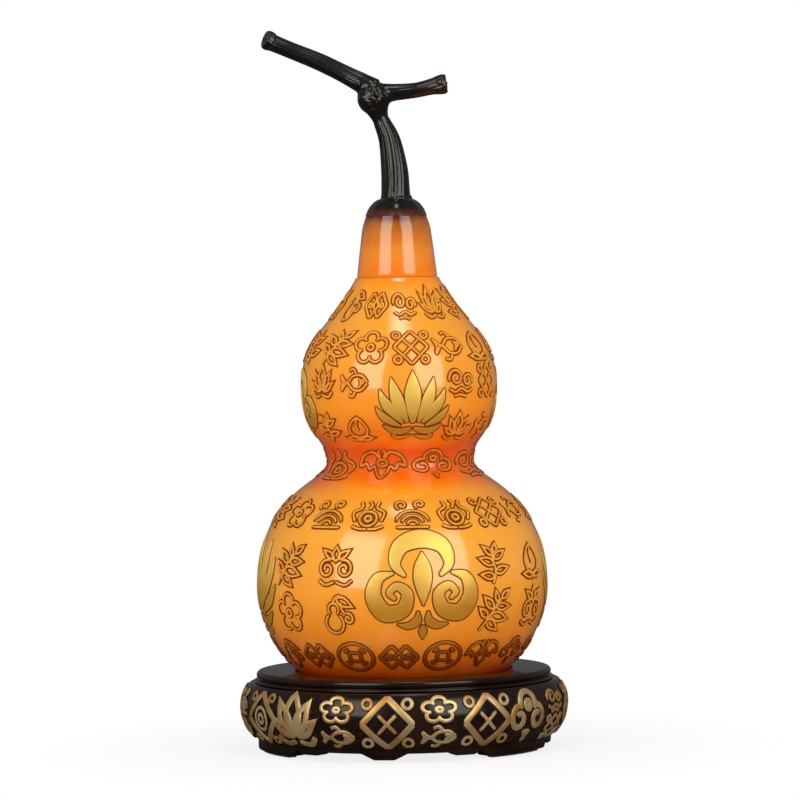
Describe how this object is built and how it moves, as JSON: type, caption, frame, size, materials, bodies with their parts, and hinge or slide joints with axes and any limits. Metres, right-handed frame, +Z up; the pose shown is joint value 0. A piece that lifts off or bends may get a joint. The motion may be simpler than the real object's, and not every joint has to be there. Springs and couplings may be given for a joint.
{
  "type": "gourd bottle on stand",
  "caption": "Amber double-gourd bottle with raised ornament, a lift-off neck lid topped by a forked black vine stem, seated on a round carved stand with gilt relief.",
  "frame": {"origin": "on the floor, under the axis of the stand and gourd", "axes": "+Z up along the axis; -Y is the front; the long arm of the stem points to -X"},
  "size_m": [0.1702, 0.1702, 0.3722],
  "materials": {
    "amber_glass": "polished amber art glass, deep colour that lets little light through",
    "stand_lacquer": "black-brown lacquered cast resin, gloss",
    "gilding": "rubbed gilding on raised relief",
    "stem_lacquer": "black lacquered cast resin, high gloss",
    "felt": "dark felt",
    "board": "plain brown hardboard",
    "screw_steel": "zinc-plated steel",
    "seal_rubber": "pale silicone rubber"
  },
  "bodies": {
    "stand": {"stand_drum": "stand_lacquer", "stand_top": "stand_lacquer", "bottom_board": "board", "board_screw_1": "screw_steel", "board_screw_2": "screw_steel", "board_screw_3": "screw_steel", "foot_pad_1": "felt", "foot_pad_2": "felt", "foot_pad_3": "felt"},
    "seat": {"seat_felt": "felt"},
    "gourd": {"gourd_body": "amber_glass"},
    "seal": {"lid_seal": "seal_rubber"},
    "lid": {"lid_cap": "amber_glass", "calyx": "stem_lacquer", "vine_stem": "stem_lacquer", "stem_pin": "screw_steel"}
  },
  "joints": [
    {"name": "gourd_turn", "type": "hinge", "parent": "stand", "child": "seat", "pos_m": [0, 0, 0.038], "axis": [0, 0, 1], "continuous": true},
    {"name": "gourd_lift", "type": "slide", "parent": "seat", "child": "gourd", "axis": [0, 0, 1], "range_m": [0, 0.08]},
    {"name": "lid_lift", "type": "slide", "parent": "gourd", "child": "seal", "axis": [0, 0, 1], "range_m": [0, 0.06]},
    {"name": "lid_turn", "type": "hinge", "parent": "seal", "child": "lid", "pos_m": [0, 0, 0.2387], "axis": [0, 0, 1], "continuous": true}
  ]
}
